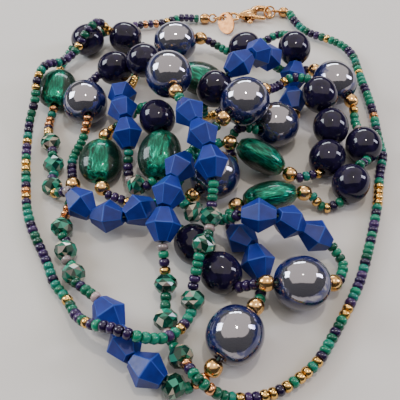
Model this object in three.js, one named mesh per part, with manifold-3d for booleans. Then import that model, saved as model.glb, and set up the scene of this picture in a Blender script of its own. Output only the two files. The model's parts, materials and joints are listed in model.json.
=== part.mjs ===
// A long rope of beads lying in a heap, closed with a lobster clasp.
// Millimetres, +Z up. The heap lies on the plane Z = 0, and +Y is the side that the clasp lies on.

import * as THREE from 'three'
import { mergeVertices } from 'three/addons/utils/BufferGeometryUtils.js'
import Module from 'manifold-3d'

const wasm = await Module()
wasm.setup()

// Strung pieces: diameter across the thread, and length along it
const LUSTRE_D = 13
const NAVY_D = 10
const OVAL_LONG = 14
const OVAL_WIDE = 12
const OVAL_THICK = 8
const BICONE_D = 8.8
const BICONE_LONG = 8.6
const BICONE_TIP_D = 3.6
const BICONE_SIDES = 6
const GOLD_D = 4.2
const CRYSTAL_D = 6
const CRYSTAL_LONG = 4.6
const SEED_D = 2.9

// Thread, the hole that it runs in, and the clearances
const BORE_D = 1.7
const THREAD_D = 0.7
const END_GAP = 0.3 // between two pieces along the thread
const SIDE_GAP = 0.45 // between two strands that cross or lie together
const STEP = 6.2 // of the tube that stands for a run of seed beads

// Lobster clasp: its own X runs from the tail's eye to the hook, and it lies on the floor
const CLASP_THICK = 3.4
const ARM_THICK = 1.1 // of the tail and the hook, at mid-height
const EYE_R = 1.4
const TAIL_WIDE = 0.65 // of the wall round the eye
const NECK_AT = 3 // from the eye, where the tail runs into the housing
const NECK_WIDE = 2
const HOOK_AT = [9.6, 0.3]
const HOOK_R = 2.4 // inside
const HOOK_WIDE = 1.1
const HOOK_FROM = 165 // degrees, where the hook leaves the body
const HOOK_TO = -58 // degrees, where its point ends before the gate trims it
const PIVOT = [5.4, -0.9]
const RIVET_R = 0.5
const RIVET_INSET = 0.3 // of the rivet's heads in the housing
const HUB_R = 1.3
const HUB_SIDE_GAP = 0.4
const HOUSING_WALL = 0.6 // beside the hub
const BACK_SWELL = 1.4 // how much further the housing's back swells than its belly
const GATE_LONG = 5.65 // from the pivot to the gate's end
const GATE_WIDE = 1.2
const GATE_TURN = -17 // degrees, where the closed gate points
const GATE_SWING = 12 // degrees that it opens inwards
const SHUT_SPARE = 25 // degrees that the hook keeps clear on each side of the gate's swing
const OPEN_SPARE = 15
const THUMB_TURN = -80 // degrees from the gate
const THUMB_LONG = 1.3 // past the hub
const THUMB_WIDE = 1
const THUMB_R = 0.8
const LEVER_THICK = 1
const LEVER_GAP = 0.3

// Corners where the housing meets the hook, from the inside of the hook's ring, as shares of HOOK_R
const HOOK_ROOT = [[-0.04, 0.12], [0.17, 0.92], [0.25, 1.21]]

// Links, tag and end caps
const WIRE_D = 0.6
const LINK_R = 1.5 // middle of the wire, of the links next to the clasp
const TAG_LINK_R = 2.1
const HOOK_LINK_R = 1.9
const CAP_LINK_R = 1.25
const CAP_D = 3.4
const TAG_LONG = 8.6
const TAG_WIDE = 5.6
const TAG_THICK = 0.6
const TAG_HOLE_R = 1.2
const TAG_RIM = 0.6 // of metal between the hole and the tag's end
const TAG_HANGS_AT = 120 // degrees round its link
const TAG_DOWN = [0.3, -0.9, -0.2] // the way that it hangs
const TAG_FACE = [-0.5, -0.38, 0.75] // the way that its face looks
const TAG_SLACK = 0.3

// The strand from the right end cap to the left one, each place as the heap shows it: [x, y, z].
const ROUTE = [
  ['run', [34, 71, 2], [39, 68, 2], [46, 63, 2], [49.5, 57, 2], [50, 48, 2], [51.5, 35, 2], [51.5, 24, 2],
    [50, 11, 2], [47, -4, 2], [43, -16, 2], [38.5, -28, 2], [32, -39, 2], [26, -48.5, 2], [18, -54.5, 2], [9, -57, 2],
    [1.5, -56, 2], [-2, -53, 2]],
  ['crystal', [-4, -47, 3]],
  ['run', [-6, -43.5, 2]],
  ['crystal', [-8, -37.5, 3]],
  ['run', [-7.5, -33, 2]],
  ['crystal', [-8, -29, 3]],
  ['run', [-8, -25, 4]],
  ['bicone', [-8, -18, 11], [-8, -9, 14], [-4.5, 0, 14]],
  ['run', [0, 9, 14]],
  ['gold', [6.5, 15, 15]],
  ['lustre', [12.5, 21, 16]],
  ['gold', [19, 28.5, 13]],
  ['run', [23.7, 35.4, 9], [28.6, 33.8, 11]],
  ['navy', [34, 29.5, 5], [35.5, 21, 5], [34, 13.5, 5]],
  ['run', [29, 8, 2], [26.5, 9, 3]],
  ['gold', [24, 10, 4]],
  ['oval', [17, 9.5, 7, 'side']],
  ['gold', [9.5, 13, 8]],
  ['run', [3, 13, 7], [-4, 8, 6], [-5, -1, 6]],
  ['crystal', [-1, -8, 3]],
  ['run', [2, -12, 5], [6, -15, 9]],
  ['bicone', [12.7, -16.3, 12], [21.5, -14, 9], [30, -16, 5]],
  ['run', [36, -19, 2], [35, -25, 2]],
  ['gold', [31.5, -28, 3]],
  ['lustre', [23.5, -31.5, 6.5]],
  ['gold', [16, -31, 4]],
  ['run', [11, -30.5, 2]],
  ['navy', [4.5, -27.5, 5], [-1.5, -18, 5]],
  ['run', [-6.5, -11.5, 2], [-14, -4, 2], [-21, -1, 2]],
  ['gold', [-26, 2, 3]],
  ['oval', [-28.5, 11, 4.5, 'flat']],
  ['gold', [-28, 21, 3]],
  ['run', [-24, 25, 4], [-18, 24, 9]],
  ['navy', [-12.5, 18, 14]],
  ['oval', [-11, 8, 8, 'side']],
  ['run', [-13, 1, 3]],
  ['crystal', [-17, 1, 3]],
  ['run', [-20, 6, 3]],
  ['bicone', [-20.5, 14.5, 8], [-22, 23.5, 9], [-22, 33, 8]],
  ['run', [-22.5, 43, 3], [-20, 51, 2], [-17, 57, 2], [-19, 62, 3]],
  ['navy', [-25, 62, 5]],
  ['run', [-32, 65, 6], [-34, 60, 11], [-38, 55, 7], [-43, 47, 6], [-46.5, 39, 9], [-50, 27, 3], [-49, 14, 2],
    [-47, 2, 2], [-45.5, -7, 2], [-39, -19.5, 2], [-33, -28.5, 2], [-28, -36, 3], [-22.5, -41, 8], [-16, -46, 10],
    [-9, -46, 8], [-5, -40.5, 3]],
  ['crystal', [-1, -33.5, 3]],
  ['run', [1, -28, 8]],
  ['crystal', [2, -22.5, 9]],
  ['run', [3, -18.5, 9]],
  ['crystal', [3, -14.5, 10]],
  ['run', [3, -10.5, 14]],
  ['bicone', [2.5, -4, 18], [1.5, 4.5, 20], [-2, 12, 20]],
  ['run', [-4, 17, 20]],
  ['gold', [-6.5, 20, 20]],
  ['lustre', [-9.5, 28, 19]],
  ['gold', [-13, 40, 15]],
  ['navy', [-18, 52.5, 11]],
  ['navy', [-27, 47, 5]],
  ['run', [-33, 43, 3]],
  ['lustre', [-32, 31, 7]],
  ['run', [-33, 20, 2], [-36, 10, 2]],
  ['gold', [-34, 4, 2]],
  ['run', [-34, -3, 2]],
  ['crystal', [-33.5, -11, 3]],
  ['run', [-33.5, -14.5, 2]],
  ['crystal', [-33.5, -18.5, 3]],
  ['run', [-33, -22, 2]],
  ['crystal', [-31.5, -26, 3]],
  ['run', [-27, -32, 2]],
  ['bicone', [-22.5, -38, 4.5], [-17, -44.5, 4.5], [-10.5, -50, 4.5]],
  ['crystal', [-5.5, -53.5, 3]],
  ['run', [-1.5, -50, 2]],
  ['gold', [2.5, -48.5, 3]],
  ['lustre', [7, -44.5, 6.5]],
  ['gold', [12.5, -37, 3]],
  ['run', [13.5, -31, 2]],
  ['bicone', [13, -23.5, 4.5], [13, -15, 4.5]],
  ['run', [11, -8, 2]],
  ['gold', [10, -4, 3]],
  ['oval', [17.5, -4, 6, 'side']],
  ['gold', [26, -2, 3]],
  ['run', [31, -2, 2], [34, -4, 2]],
  ['navy', [40, 2, 5]],
  ['run', [43, 9, 2]],
  ['navy', [43.5, 15.5, 5]],
  ['run', [45, 24, 2]],
  ['gold', [44, 31, 3]],
  ['lustre', [39.5, 38, 6.5]],
  ['gold', [36.5, 48, 3]],
  ['run', [32, 54, 2]],
  ['bicone', [22.6, 46.8, 8], [14.5, 35.5, 14.5], [7, 30.5, 15.5]],
  ['navy', [1, 24.5, 10]],
  ['run', [9, 35, 2], [10, 43, 3]],
  ['oval', [2, 46, 4.5, 'flat']],
  ['run', [-9, 45, 2], [-17, 48, 2]],
  ['gold', [-15, 54, 3]],
  ['lustre', [-7.5, 57.5, 6.5]],
  ['gold', [0, 62, 3]],
  ['run', [6, 60, 2]],
  ['navy', [14.5, 57, 5]],
  ['run', [22, 58, 2]],
  ['navy', [28.5, 48, 8]],
  ['bicone', [26, 43, 4.4], [24.8, 34.5, 4.4]],
  ['gold', [26, 27, 3]],
  ['lustre', [22, 19, 7]],
  ['run', [13, 20, 2], [7, 17, 2], [7, 11, 2]],
  ['lustre', [5, 3, 7]],
  ['gold', [-2, 0, 3]],
  ['run', [-8, -2, 2]],
  ['bicone', [-16, -7.5, 5], [-23.5, -9, 5], [-31, -8, 5]],
  ['run', [-37, -4, 2]],
  ['crystal', [-39, 2, 3]],
  ['run', [-40, 6, 2]],
  ['crystal', [-40.5, 10, 3]],
  ['run', [-41, 14, 2]],
  ['crystal', [-42.5, 18.5, 3]],
  ['run', [-44, 25, 2], [-44.5, 31, 2]],
  ['oval', [-43.5, 40, 4.5, 'flat']],
  ['run', [-44, 53, 2], [-41, 58, 2]],
  ['navy', [-35, 61, 5]],
  ['run', [-30, 70, 2], [-22, 73, 2], [-11, 75, 2], [-3, 78, 2]]
]

// Where the clasp's tail eye lies, and how far the clasp and the caps are turned about +Z
const CLASP_AT = [11.5, 78.4]
const CLASP_TURN = 8
const RIGHT_CAP_TURN = -10
const LEFT_CAP_TURN = 183
const EYE_SLACK = 0.5 // how far the left link sits inside the tail's eye
const HOOK_SLACK = [0.15, 0.4] // of the right link in the hook, along and across the clasp
const HOOK_LINK_TURN = 8 // degrees from the clasp

const glass = (color, roughness, metalness = 0) => new THREE.MeshStandardMaterial({ color, roughness, metalness })
const lustreGlass = glass(0x24366b, 0.12, 0.6)
const navyGlass = glass(0x0c0d35, 0.08)
const foilGlass = glass(0x0b6a48, 0.1, 0.4)
const cobaltGlass = glass(0x123a9c, 0.35)
const seedGlass = glass(0x11805a, 0.2)
const goldMetal = glass(0xc79a4a, 0.25, 1)

// What each kind takes of the thread, how wide it is for its neighbours, and how it is built
const KINDS = {
  lustre: { long: LUSTRE_D + 2 * END_GAP, radius: LUSTRE_D / 2, solid: true },
  navy: { long: NAVY_D + 2 * END_GAP, radius: NAVY_D / 2, solid: true },
  oval: { long: OVAL_LONG + 2 * END_GAP, radius: OVAL_WIDE / 2, solid: true },
  bicone: { long: BICONE_LONG, radius: BICONE_D / 2, solid: true },
  gold: { long: GOLD_D, radius: GOLD_D / 2, solid: false },
  crystal: { long: CRYSTAL_LONG, radius: CRYSTAL_D / 2, solid: false },
  run: { long: STEP, radius: SEED_D / 2, solid: false }
}

// The way that the flat face of an oval looks when it stands on its side
const STANDING_FACE = [0, 0.79, 0.62]

// How the chain settles: how hard each place pulls its piece home, for what share of the rounds, how far apart
// the middles of two pieces may be and still be tested, and the greatest turn between neighbours in radians
const ROUNDS = 700
const PULL = 0.04
const THREAD_PULL = 0.3 // share of PULL that the ends of a bead's own length take
const PULL_ROUNDS = 0.8
const TEST_WITHIN = 24
const TURN = { bicones: 0.75, beads: 0.45, beadAndRun: 0.95, runs: 1.15 }

const vec = (p) => new THREE.Vector3(p[0], p[1], p[2])
const { degToRad } = THREE.MathUtils

// A level direction, and the direction across a link that leans by `lean` from the floor about it
const level = (degrees) => new THREE.Vector3(Math.cos(degToRad(degrees)), Math.sin(degToRad(degrees)), 0)
const leaning = (way, lean) => {
  const up = new THREE.Vector3(0, 0, 1)
  return up.clone().cross(way).multiplyScalar(Math.cos(degToRad(lean))).addScaledVector(up, Math.sin(degToRad(lean)))
}

// The links in a row: the clasp's own frame, then each link's centre, way and lean in the world
const MIDDLE = CLASP_THICK / 2
const claspFrame = new THREE.Matrix4().makeRotationZ(degToRad(CLASP_TURN)).setPosition(CLASP_AT[0], CLASP_AT[1], 0)
const onClasp = (x, y, z = MIDDLE) => new THREE.Vector3(x, y, z).applyMatrix4(claspFrame)
const NEAR = WIRE_D + LEVER_GAP // two wires that pass inside each other's link
const tailWay = level(CLASP_TURN + 180)
const linkLeft2 = { at: onClasp(-EYE_R + WIRE_D / 2 + EYE_SLACK - LINK_R, 0), way: tailWay,
  radius: LINK_R, lean: 110 }
const linkLeft1 = { at: linkLeft2.at.clone().addScaledVector(tailWay, LINK_R + TAG_LINK_R - NEAR), way: tailWay,
  radius: TAG_LINK_R, lean: 40 }
const hookMiddle = HOOK_R + HOOK_WIDE / 2
const linkRight = { at: onClasp(HOOK_AT[0] + hookMiddle + HOOK_SLACK[0], HOOK_AT[1] + HOOK_SLACK[1]),
  way: level(CLASP_TURN + HOOK_LINK_TURN), radius: HOOK_LINK_R, lean: 45 }

// An end cap: a small ring in the last link, with a ball that covers the strand's end
function capAfter(link, turn, lean) {
  const way = level(turn)
  const ring = link.at.clone().addScaledVector(link.way, link.radius).addScaledVector(way, CAP_LINK_R - NEAR)
  const ball = ring.clone().addScaledVector(way, CAP_LINK_R + CAP_D / 2 - WIRE_D / 2)
  const end = ball.clone().addScaledVector(way, CAP_D / 2 + END_GAP)
  return { way, ring: { at: ring, way, radius: CAP_LINK_R, lean }, ball, end }
}
const rightCap = capAfter(linkRight, RIGHT_CAP_TURN, 135)
const leftCap = capAfter(linkLeft1, LEFT_CAP_TURN, 120)

// Lays the pieces of ROUTE out as a chain of straight lengths between points
function layOut() {
  const pieces = []
  for (const [kind, ...places] of ROUTE) {
    if (kind === 'run') {
      pieces.push({ kind, via: places.map(vec) })
      continue
    }
    const last = places.at(-1)
    for (const place of places) pieces.push({ kind, via: [vec(place)], pose: place[3], last: place === last })
  }
  const points = [rightCap.end.clone()]
  const lengths = []
  pieces.forEach((piece, i) => {
    const after = i + 1 < pieces.length ? pieces[i + 1].via[0] : leftCap.end
    const from = points.at(-1)
    if (piece.kind === 'run') {
      const next = pieces[i + 1] ? KINDS[pieces[i + 1].kind].long / 2 : 0
      const end = after.clone().addScaledVector(after.clone().sub(piece.via.at(-1)).normalize(), -next)
      const line = new THREE.CurvePath()
      const stops = [from.clone(), ...piece.via, end]
      for (let k = 1; k < stops.length; k++) line.add(new THREE.LineCurve3(stops[k - 1], stops[k]))
      const steps = Math.max(1, Math.round(line.getLength() / STEP))
      for (let k = 1; k <= steps; k++) {
        points.push(line.getPoint(k / steps))
        lengths.push({ kind: 'run', long: line.getLength() / steps, at: null })
      }
      return
    }
    const centre = piece.via[0]
    const before = pieces[i - 1]
    const bicone = piece.kind === 'bicone'
    const lead = bicone && before.kind !== 'bicone' ? END_GAP : 0
    const trail = bicone && piece.last ? END_GAP : 0
    const long = KINDS[piece.kind].long + lead + trail
    const ahead = after.clone().sub(before ? before.via.at(-1) : from).normalize()
    points.push(centre.clone().addScaledVector(ahead, long / 2))
    lengths.push({ kind: piece.kind, long, at: centre, pose: piece.pose, last: piece.last, lead, trail })
  })
  return { points, lengths }
}

// How far a length reaches from its centre towards the unit vector d
function reach(length, axis, d) {
  if (length.kind !== 'oval') return KINDS[length.kind].radius
  const flat = faceOf(length, axis)
  const along = axis.dot(d) * OVAL_LONG / 2
  const thick = flat.dot(d) * OVAL_THICK / 2
  const side = Math.sqrt(Math.max(0, 1 - axis.dot(d) ** 2 - flat.dot(d) ** 2)) * OVAL_WIDE / 2
  return Math.hypot(along, thick, side)
}

// The way that the flat face of an oval looks: up where it lies flat, level where it stands on its side
function faceOf(length, axis) {
  const up = length.pose === 'flat' ? new THREE.Vector3(0, 0, 1) : vec(STANDING_FACE)
  return up.addScaledVector(axis, -up.dot(axis)).normalize()
}

// Lets the chain settle: lengths keep, nothing passes into anything else or into the floor
function settle({ points, lengths }) {
  const count = lengths.length
  const home = points.map((p) => p.clone())
  const isBall = lengths.map((l) => l.kind !== 'run')
  const axis = new THREE.Vector3()
  const d = new THREE.Vector3()
  const a = new THREE.Vector3()
  const b = new THREE.Vector3()
  const spread = (i, t, move) => {
    if (i > 0) points[i].addScaledVector(move, 1 - t)
    if (i + 1 < count) points[i + 1].addScaledVector(move, t)
  }
  const keepLength = (i, j, wanted, atLeast = false) => {
    d.subVectors(points[j], points[i])
    const now = d.length()
    if (atLeast && now >= wanted) return
    d.multiplyScalar((now - wanted) / now)
    const wi = i === 0 ? 0 : j === count ? 1 : 0.5
    points[i].addScaledVector(d, wi)
    points[j].addScaledVector(d, wi - 1)
  }
  const maxTurn = (i) => {
    const one = lengths[i - 1]
    const two = lengths[i]
    if (one.kind === 'bicone' && two.kind === 'bicone') return TURN.bicones
    if (isBall[i - 1] && isBall[i]) return TURN.beads
    return isBall[i - 1] || isBall[i] ? TURN.beadAndRun : TURN.runs
  }
  const apart = (i, j) => {
    const p = points[i]
    const q = points[j]
    const one = isBall[i] ? [0.5, 0.5] : [0, 1]
    const two = isBall[j] ? [0.5, 0.5] : [0, 1]
    const [s, t] = nearest(p, points[i + 1], q, points[j + 1], one, two)
    a.lerpVectors(p, points[i + 1], s)
    b.lerpVectors(q, points[j + 1], t)
    d.subVectors(b, a)
    const now = d.length() || 1e-6
    d.divideScalar(now)
    const ri = reach(lengths[i], axis.subVectors(points[i + 1], p).normalize(), d)
    const rj = reach(lengths[j], axis.subVectors(points[j + 1], q).normalize(), d)
    const lack = ri + rj + SIDE_GAP - now
    if (lack <= 0) return
    const hi = 1 / ((1 - s) ** 2 + s ** 2)
    const hj = 1 / ((1 - t) ** 2 + t ** 2)
    spread(i, s, d.clone().multiplyScalar(-0.5 * lack * hi))
    spread(j, t, d.clone().multiplyScalar(0.5 * lack * hj))
  }
  let close = []
  for (let round = 0; round < ROUNDS; round++) {
    const pull = round < ROUNDS * PULL_ROUNDS ? PULL : 0
    for (let i = 1; i < count; i++) points[i].lerp(home[i], pull * (isBall[i] || isBall[i - 1] ? THREAD_PULL : 1))
    lengths.forEach((l, i) => {
      if (!l.at) return
      const move = points[i].clone().add(points[i + 1]).multiplyScalar(-0.5).add(l.at).multiplyScalar(2 * pull)
      spread(i, 0.5, move)
    })
    if (round % 10 === 0) {
      close = []
      for (let i = 0; i < count; i++) {
        for (let j = i + 2; j < count; j++) {
          a.lerpVectors(points[i], points[i + 1], 0.5)
          b.lerpVectors(points[j], points[j + 1], 0.5)
          if (a.distanceTo(b) < TEST_WITHIN) close.push([i, j])
        }
      }
    }
    for (let pass = 0; pass < 3; pass++) {
      for (let i = 0; i < count; i++) keepLength(i, i + 1, lengths[i].long)
      for (let i = 1; i < count; i++) {
        const p = lengths[i - 1].long
        const q = lengths[i].long
        keepLength(i - 1, i + 1, Math.sqrt(p * p + q * q + 2 * p * q * Math.cos(maxTurn(i))), true)
      }
    }
    for (const [i, j] of close) apart(i, j)
    const down = new THREE.Vector3(0, 0, -1)
    for (let i = 0; i < count; i++) {
      const r = reach(lengths[i], axis.subVectors(points[i + 1], points[i]).normalize(), down)
      if (isBall[i]) {
        const low = (points[i].z + points[i + 1].z) / 2
        if (low < r) spread(i, 0.5, new THREE.Vector3(0, 0, 2 * (r - low)))
      } else {
        if (points[i].z < r) points[i].z = r
        if (points[i + 1].z < r) points[i + 1].z = r
      }
    }
  }
}

// The nearest places of two straight lengths, as shares of each, kept within the given shares
function nearest(p1, p2, q1, q2, [s0, s1], [t0, t1]) {
  const u = p2.clone().sub(p1)
  const v = q2.clone().sub(q1)
  const w = p1.clone().sub(q1)
  const uu = u.dot(u)
  const vv = v.dot(v)
  const uv = u.dot(v)
  const uw = u.dot(w)
  const vw = v.dot(w)
  const hold = THREE.MathUtils.clamp
  const flatness = uu * vv - uv * uv
  let s = flatness > 1e-9 ? hold((uv * vw - vv * uw) / flatness, s0, s1) : s0
  const t = hold((uv * s + vw) / vv, t0, t1)
  s = hold((uv * t - uw) / uu, s0, s1)
  return [s, t]
}

// Facets of a bead, from hole to hole and round it
const LARGE_BEAD = { turns: 7, sides: 12 }
const SMALL_BEAD = { turns: 5, sides: 10 }
const HOLE_EDGE = 0.05 // width of the hole's edge that an oval leaves round

// A bead turned round the thread, with its hole
function turned(profile, sides) {
  const points = profile.map(([r, y]) => new THREE.Vector2(r, y))
  return new THREE.LatheGeometry([...points, points[0].clone()], sides)
}

// A round outline from hole to hole, in equal turns
function roundProfile(diameter, long, turns) {
  const start = Math.asin(BORE_D / diameter)
  const profile = []
  for (let k = 0; k <= turns; k++) {
    const turn = start + (Math.PI - 2 * start) * k / turns
    profile.push([Math.max(BORE_D / 2, diameter / 2 * Math.sin(turn)), -long / 2 * Math.cos(turn) / Math.cos(start)])
  }
  return profile
}

const roundBead = (diameter, { turns, sides }) => turned(roundProfile(diameter, diameter, turns), sides)

// A bead with an oval section: round first, then flattened everywhere but at its hole
function ovalGeometry() {
  const geometry = turned(roundProfile(OVAL_WIDE, OVAL_LONG, LARGE_BEAD.turns), LARGE_BEAD.sides)
  const place = geometry.attributes.position
  for (let i = 0; i < place.count; i++) {
    const atHole = Math.hypot(place.getX(i), place.getZ(i)) < BORE_D / 2 + HOLE_EDGE
    if (!atHole) place.setZ(i, place.getZ(i) * OVAL_THICK / OVAL_WIDE)
  }
  return geometry
}

// Turns and places a shape made along +Y onto the length from p to q, with its own +Z looking towards face
function onto(geometry, p, q, face = new THREE.Vector3(0, 0, 1)) {
  const y = q.clone().sub(p).normalize()
  const z = face.clone().addScaledVector(y, -face.dot(y)).normalize()
  const place = new THREE.Matrix4().makeBasis(y.clone().cross(z), y, z)
  place.setPosition(p.clone().add(q).multiplyScalar(0.5))
  return geometry.applyMatrix4(place)
}

function solidOf(geometry) {
  const bare = geometry.clone()
  for (const name of ['normal', 'uv']) bare.deleteAttribute(name)
  const { attributes, index } = mergeVertices(bare, 1e-4)
  const triangles = []
  for (let i = 0; i < index.count; i += 3) {
    const [a, b, c] = [index.getX(i), index.getX(i + 1), index.getX(i + 2)]
    if (a !== b && b !== c && a !== c) triangles.push(a, b, c)
  }
  return new wasm.Manifold(new wasm.Mesh({ numProp: 3, vertProperties: new Float32Array(attributes.position.array),
    triVerts: new Uint32Array(triangles) }))
}

function geometryOf(solid) {
  const mesh = solid.getMesh()
  const geometry = new THREE.BufferGeometry()
  geometry.setAttribute('position', new THREE.BufferAttribute(new Float32Array(mesh.vertProperties), 3))
  geometry.setIndex([...mesh.triVerts])
  return geometry
}

// Sweeps a section of `sides` corners along the given stations, each { at, along, radius }, with a hole through all
// of it where a bore is given
function swept(stations, sides = 8, bore = 0) {
  const corners = []
  const faces = []
  const quad = (a, b, c, d) => faces.push(a, b, d, b, c, d)
  let side = null
  stations.forEach(({ at, along, radius }) => {
    const start = side ?? (Math.abs(along.z) < 0.9 ? new THREE.Vector3(0, 0, 1) : new THREE.Vector3(1, 0, 0))
    side = start.clone().addScaledVector(along, -start.dot(along)).normalize()
    const other = along.clone().cross(side)
    for (const r of bore ? [radius, bore] : [radius]) {
      for (let i = 0; i < sides; i++) {
        const turn = 2 * Math.PI * (i + 0.5) / sides
        const p = at.clone().addScaledVector(side, r * Math.cos(turn)).addScaledVector(other, r * Math.sin(turn))
        corners.push(p.x, p.y, p.z)
      }
    }
  })
  const ring = bore ? 2 * sides : sides
  const last = (stations.length - 1) * ring
  for (let i = 0; i < sides; i++) {
    const next = (i + 1) % sides
    for (let start = 0; start < last; start += ring) {
      quad(start + i, start + next, start + next + ring, start + i + ring)
      if (bore) quad(start + sides + next, start + sides + i, start + sides + i + ring, start + sides + next + ring)
    }
    if (bore) {
      quad(next, i, sides + i, sides + next)
      quad(last + i, last + next, last + sides + next, last + sides + i)
    } else if (i > 0 && i + 1 < sides) {
      faces.push(0, i + 1, i)
      faces.push(last, last + i, last + i + 1)
    }
  }
  const geometry = new THREE.BufferGeometry()
  geometry.setAttribute('position', new THREE.BufferAttribute(new Float32Array(corners), 3))
  geometry.setIndex(faces)
  return geometry
}

const group = new THREE.Group()

function add(name, geometry, material) {
  const mesh = new THREE.Mesh(geometry, material)
  mesh.name = name
  group.add(mesh)
  return mesh
}

const chain = layOut()
settle(chain)
const { points, lengths } = chain
const alongOf = (i) => points[i + 1].clone().sub(points[i]).normalize()

// Beads and runs of bicones, each a piece of its own
const counts = {}
const numbered = (name) => `${name}_${String(counts[name] = (counts[name] ?? 0) + 1).padStart(2, '0')}`
let biconeRun = []
lengths.forEach((length, i) => {
  const [p, q] = [points[i], points[i + 1]]
  if (length.kind === 'lustre') {
    add(numbered('lustre_bead'), onto(roundBead(LUSTRE_D, LARGE_BEAD), p, q), lustreGlass)
  } else if (length.kind === 'navy') {
    add(numbered('navy_bead'), onto(roundBead(NAVY_D, SMALL_BEAD), p, q), navyGlass)
  } else if (length.kind === 'oval') {
    add(numbered('foil_oval'), onto(ovalGeometry(), p, q, faceOf(length, alongOf(i))), foilGlass)
  } else if (length.kind === 'bicone') {
    const along = alongOf(i)
    const start = p.clone().addScaledVector(along, length.lead)
    const end = q.clone().addScaledVector(along, -length.trail)
    if (length.lead) biconeRun.push({ at: start, along, radius: BICONE_TIP_D / 2 })
    biconeRun.push({ at: start.clone().lerp(end, 0.5), along, radius: BICONE_D / 2 })
    const way = length.last ? along : along.clone().add(alongOf(i + 1)).normalize()
    biconeRun.push({ at: end, along: way, radius: BICONE_TIP_D / 2 })
    if (!length.last) return
    add(numbered('bicone_run'), swept(biconeRun, BICONE_SIDES, BORE_D / 2), cobaltGlass)
    biconeRun = []
  }
})

// The strand itself, split inside main beads so that each part is one open line
const STRAND_CUTS = [24, 40, 55, 75, 100, 125, 150, 175, 200]

// Rings of the small beads: share of the length, share of the radius
const GOLD_RINGS = [[-0.47, 0.4], [-0.21, 0.95], [0.21, 0.95], [0.47, 0.4]]
const CRYSTAL_RINGS = [[-0.49, 0.3], [-0.13, 1], [0.13, 1], [0.49, 0.3]]

function stationsOf(first, last) {
  const stations = []
  const put = (at, along, radius) => stations.push({ at, along, radius })
  const thin = THREAD_D / 2
  for (let i = first; i <= last; i++) {
    const along = alongOf(i)
    const { kind } = lengths[i]
    const solid = KINDS[kind].solid
    const middle = points[i].clone().lerp(points[i + 1], 0.5)
    const on = (share) => middle.clone().addScaledVector(along, share * lengths[i].long)
    if (i === first && solid) put(on(END_GAP / 2 / lengths[i].long), along, thin)
    if (solid) {
      const nextSolid = i < last && KINDS[lengths[i + 1].kind].solid
      if (i === last) put(on(-END_GAP / 2 / lengths[i].long), along, thin)
      else if (nextSolid) put(points[i + 1].clone(), along.clone().add(alongOf(i + 1)).normalize(), thin)
      else put(points[i + 1].clone(), along, thin)
      continue
    }
    const isSolid = (k) => KINDS[lengths[k]?.kind]?.solid
    const wayIn = i === 0 ? rightCap.way : isSolid(i - 1) ? alongOf(i - 1) : along
    const wayOut = i + 1 === lengths.length ? leftCap.way.clone().negate() : isSolid(i + 1) ? alongOf(i + 1) : along
    if (kind === 'run') {
      if (lengths[i - 1]?.kind !== 'run') put(points[i].clone(), wayIn, SEED_D / 2)
      const goesOn = lengths[i + 1]?.kind === 'run'
      const way = goesOn ? along.clone().add(alongOf(i + 1)).normalize() : wayOut
      put(points[i + 1].clone(), way, SEED_D / 2)
    } else {
      const shape = kind === 'gold' ? GOLD_RINGS : CRYSTAL_RINGS
      shape.forEach(([share, width], k) => put(on(share), k === 0 ? wayIn : k === 3 ? wayOut : along,
        KINDS[kind].radius * width))
    }
    if (isSolid(i + 1)) put(points[i + 1].clone(), alongOf(i + 1), thin)
  }
  return stations
}

const cuts = STRAND_CUTS.map((near) => {
  const solid = lengths.map((l, i) => i).filter((i) => ['lustre', 'navy', 'oval'].includes(lengths[i].kind))
  return solid.reduce((best, i) => Math.abs(i - near) < Math.abs(best - near) ? i : best)
})
const stops = [0, ...new Set(cuts), lengths.length - 1]
for (let k = 1; k < stops.length; k++) {
  add(`strand_${String(k).padStart(2, '0')}`, swept(stationsOf(stops[k - 1], stops[k])), seedGlass)
}

// Flat shapes of the clasp, raised to a thickness about the clasp's mid-height
function plate(shape, thick, curveSegments = 10) {
  const geometry = new THREE.ExtrudeGeometry(shape, { depth: thick, bevelEnabled: false, curveSegments })
  return solidOf(geometry.translate(0, 0, MIDDLE - thick / 2))
}

function disc([x, y], radius, turns = 14) {
  const rim = [...Array(turns).keys()].map((k) => 2 * Math.PI * k / turns)
  return new THREE.Shape(rim.map((turn) => new THREE.Vector2(x + radius * Math.cos(turn), y + radius * Math.sin(turn))))
}

function band([x, y], inner, outer, from, to, turns = 10) {
  const arc = (radius, start, end) => [...Array(turns + 1).keys()].map((k) => {
    const turn = degToRad(start + (end - start) * k / turns)
    return new THREE.Vector2(x + radius * Math.cos(turn), y + radius * Math.sin(turn))
  })
  const inside = inner > 0 ? arc(inner, from, to) : [new THREE.Vector2(x, y)]
  return new THREE.Shape([...arc(outer, to, from), ...inside])
}

// The housing is as wide as it must be to hold the lever's hub
function housing() {
  const [x, y] = PIVOT
  const wide = HUB_R + LEVER_GAP + HOUSING_WALL
  const shape = new THREE.Shape()
  shape.moveTo(EYE_R, -TAIL_WIDE)
  shape.quadraticCurveTo(x - 1.5 * HUB_R, y - wide, x, y - HUB_R)
  shape.lineTo(x + HUB_R + HOUSING_WALL, y - GATE_WIDE / 2)
  for (const [ahead, across] of HOOK_ROOT) {
    shape.lineTo(HOOK_AT[0] + (ahead - 1) * HOOK_R, HOOK_AT[1] + across * HOOK_R)
  }
  shape.quadraticCurveTo(x - 0.75 * HUB_R, y + wide + BACK_SWELL, EYE_R, TAIL_WIDE)
  return shape
}

// A flat shape through the given corners
const outline = (corners) => new THREE.Shape(corners.map(([x, y]) => new THREE.Vector2(x, y)))

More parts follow.
